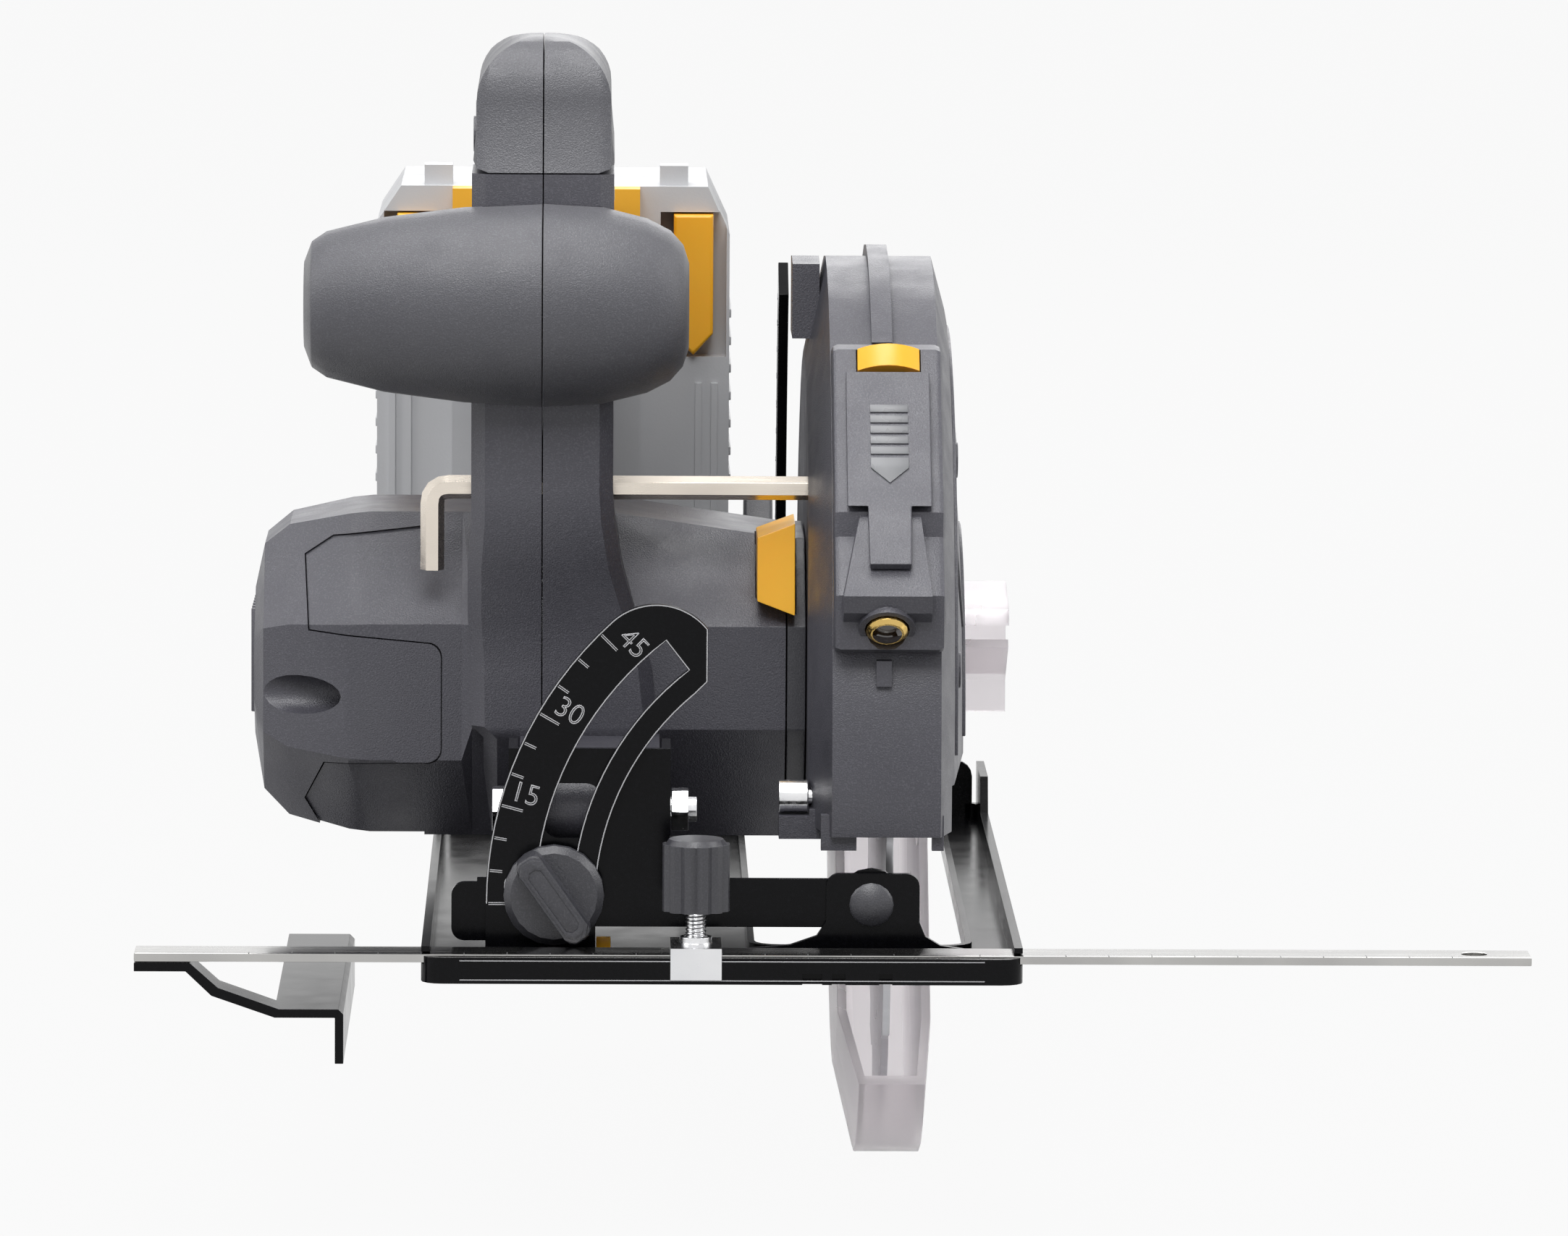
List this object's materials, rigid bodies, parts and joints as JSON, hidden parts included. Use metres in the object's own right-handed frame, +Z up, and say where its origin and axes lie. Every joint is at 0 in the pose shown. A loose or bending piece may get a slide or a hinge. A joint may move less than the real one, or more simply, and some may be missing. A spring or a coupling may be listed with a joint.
{
  "type": "circular saw",
  "caption": "Cordless hand-held circular saw with a bevelling base, rip fence, front grip, closed rear handle, clear lower blade guard and a slide-on battery.",
  "frame": {"origin": "on the underside of the base plate, midway between its two long edges and midway along its length", "axes": "+Z up out of the base plate, -Y towards the front of the saw where the rip fence is, +X towards the blade"},
  "size_m": [0.3252, 0.2978, 0.2773],
  "materials": {
    "plastic": "textured matte charcoal",
    "dark_plastic": "satin near black",
    "grip_rubber": "matte rubber",
    "amber_plastic": "gloss amber",
    "black_steel": "gloss black paint",
    "nickel": "bright nickel",
    "steel": "brushed steel",
    "zinc": "bright zinc plate",
    "brass": "polished brass",
    "winding": "laminated iron with copper windings",
    "clear_plastic": "clear smoky polycarbonate",
    "battery_plastic": "light grey satin",
    "cell_wrap": "wrapped cells"
  },
  "bodies": {
    "base": {"base_plate": "black_steel", "bevel_quadrant": "black_steel", "front_bevel_rivet": "dark_plastic", "rear_bevel_rivet": "dark_plastic", "fence_clamp_strap": "zinc"},
    "bevel_frame": {"bevel_bracket_front": "black_steel", "depth_guide": "black_steel", "depth_pivot_bolt": "zinc", "depth_pivot_nut": "zinc", "bevel_bolt": "black_steel"},
    "bevel_knob": {"bevel_knob": "dark_plastic"},
    "fence_clamp": {"fence_clamp_knob": "dark_plastic", "fence_clamp_screw": "zinc"},
    "rip_fence": {"rip_fence_bar": "nickel", "rip_fence_shoe": "black_steel"},
    "saw_body": {"housing_left": "plastic", "housing_right": "plastic", "end_cap_screw": "steel", "motor_end_cap": "plastic", "motor_can": "steel", "rear_motor_bearing": "zinc", "front_motor_bearing": "zinc", "brush_holder": "dark_plastic", "gear_housing": "dark_plastic", "spindle_bearing": "zinc", "upper_guard": "plastic", "guard_stop_pin": "zinc", "guard_return_spring": "steel", "handle_left": "plastic", "handle_right": "plastic", "front_grip_left": "grip_rubber", "front_grip_right": "grip_rubber", "trigger_switch": "dark_plastic", "laser_housing": "dark_plastic", "laser_module": "brass", "terminal_block": "dark_plastic", "depth_lock_bolt": "zinc"},
    "blade_set": {"spindle": "steel", "drive_gear": "steel", "inner_flange": "steel", "saw_blade": "steel", "outer_flange": "steel", "blade_bolt": "zinc"},
    "rotor": {"rotor": "winding", "motor_pinion": "steel", "cooling_fan": "dark_plastic"},
    "lower_guard": {"lower_guard": "clear_plastic", "guard_lever": "clear_plastic"},
    "trigger": {"trigger": "dark_plastic"},
    "lock_off_button": {"lock_off_button": "dark_plastic"},
    "spindle_lock_button": {"spindle_lock_button": "amber_plastic"},
    "laser_switch": {"laser_switch": "amber_plastic"},
    "laser_cover": {"laser_battery_cover": "dark_plastic"},
    "hex_key": {"hex_key": "nickel"},
    "depth_lever": {"depth_lock_lever": "dark_plastic"},
    "battery": {"battery_case_front": "battery_plastic", "battery_case_back": "battery_plastic", "battery_cells": "cell_wrap"},
    "battery_latch_left": {"battery_latch_left": "amber_plastic"},
    "battery_latch_right": {"battery_latch_right": "amber_plastic"}
  },
  "joints": [
    {"name": "bevel_tilt", "type": "hinge", "parent": "base", "child": "bevel_frame", "pos_m": [0.0352, 0, 0.0151], "axis": [0, 1, 0], "range_deg": [0, 45]},
    {"name": "depth_adjust", "type": "hinge", "parent": "bevel_frame", "child": "saw_body", "pos_m": [0, -0.093, 0.0353], "axis": [1, 0, 0], "range_deg": [0, 26]},
    {"name": "bevel_knob_turn", "type": "hinge", "parent": "bevel_frame", "child": "bevel_knob", "pos_m": [-0.03926, -0.116, 0.01744], "axis": [0, 1, 0], "range_deg": [0, 180]},
    {"name": "fence_clamp_turn", "type": "hinge", "parent": "base", "child": "fence_clamp", "pos_m": [-0.0061, -0.127, 0.02], "axis": [0, 0, 1], "range_deg": [0, 340]},
    {"name": "rip_fence_slide", "type": "slide", "parent": "base", "child": "rip_fence", "axis": [1, 0, 0], "range_m": [-0.17, 0.045]},
    {"name": "blade_spin", "type": "hinge", "parent": "saw_body", "child": "blade_set", "pos_m": [0, 0.019, 0.0413], "axis": [1, 0, 0], "continuous": true},
    {"name": "rotor_spin", "type": "hinge", "parent": "saw_body", "child": "rotor", "pos_m": [0, 0.002, 0.0623], "axis": [1, 0, 0], "continuous": true},
    {"name": "lower_guard_swing", "type": "hinge", "parent": "saw_body", "child": "lower_guard", "pos_m": [0, 0.019, 0.0413], "axis": [1, 0, 0], "range_deg": [0, 110], "stiffness_Nm_per_rad": 0.16, "springref_deg": -80.21},
    {"name": "trigger_press", "type": "hinge", "parent": "saw_body", "child": "trigger", "pos_m": [-0.0425, 0.026, 0.1785], "axis": [-1, 0, 0], "range_deg": [0, 7], "stiffness_Nm_per_rad": 0.6, "springref_deg": -6.88},
    {"name": "lock_off_press", "type": "slide", "parent": "saw_body", "child": "lock_off_button", "axis": [1, 0, 0], "range_m": [0, 0.004], "stiffness_N_per_m": 400, "springref_m": -0.004},
    {"name": "spindle_lock_press", "type": "slide", "parent": "saw_body", "child": "spindle_lock_button", "axis": [0, 1, 0], "range_m": [0, 0.004], "stiffness_N_per_m": 500, "springref_m": -0.004},
    {"name": "laser_switch_press", "type": "slide", "parent": "saw_body", "child": "laser_switch", "axis": [0, 0.7071, -0.7071], "range_m": [0, 0.0018], "stiffness_N_per_m": 400, "springref_m": -0.003},
    {"name": "laser_cover_slide", "type": "slide", "parent": "saw_body", "child": "laser_cover", "axis": [0, -0.7071, -0.7071], "range_m": [0, 0.005]},
    {"name": "hex_key_slide", "type": "slide", "parent": "saw_body", "child": "hex_key", "axis": [-1, 0, 0], "range_m": [0, 0.09]},
    {"name": "depth_lever_turn", "type": "hinge", "parent": "saw_body", "child": "depth_lever", "pos_m": [0.012, 0.123, 0.04096], "axis": [1, 0, 0], "range_deg": [0, 60]},
    {"name": "battery_slide", "type": "slide", "parent": "saw_body", "child": "battery", "axis": [0, 0, 1], "range_m": [0, 0.1]},
    {"name": "latch_left_press", "type": "slide", "parent": "battery", "child": "battery_latch_left", "axis": [1, 0, 0], "range_m": [0, 0.003], "stiffness_N_per_m": 600, "springref_m": -0.003},
    {"name": "latch_right_press", "type": "slide", "parent": "battery", "child": "battery_latch_right", "axis": [-1, 0, 0], "range_m": [0, 0.003], "stiffness_N_per_m": 600, "springref_m": -0.003}
  ],
  "couplings": [
    {"joint": "rotor_spin", "follows": "blade_spin", "ratio": -5}
  ]
}
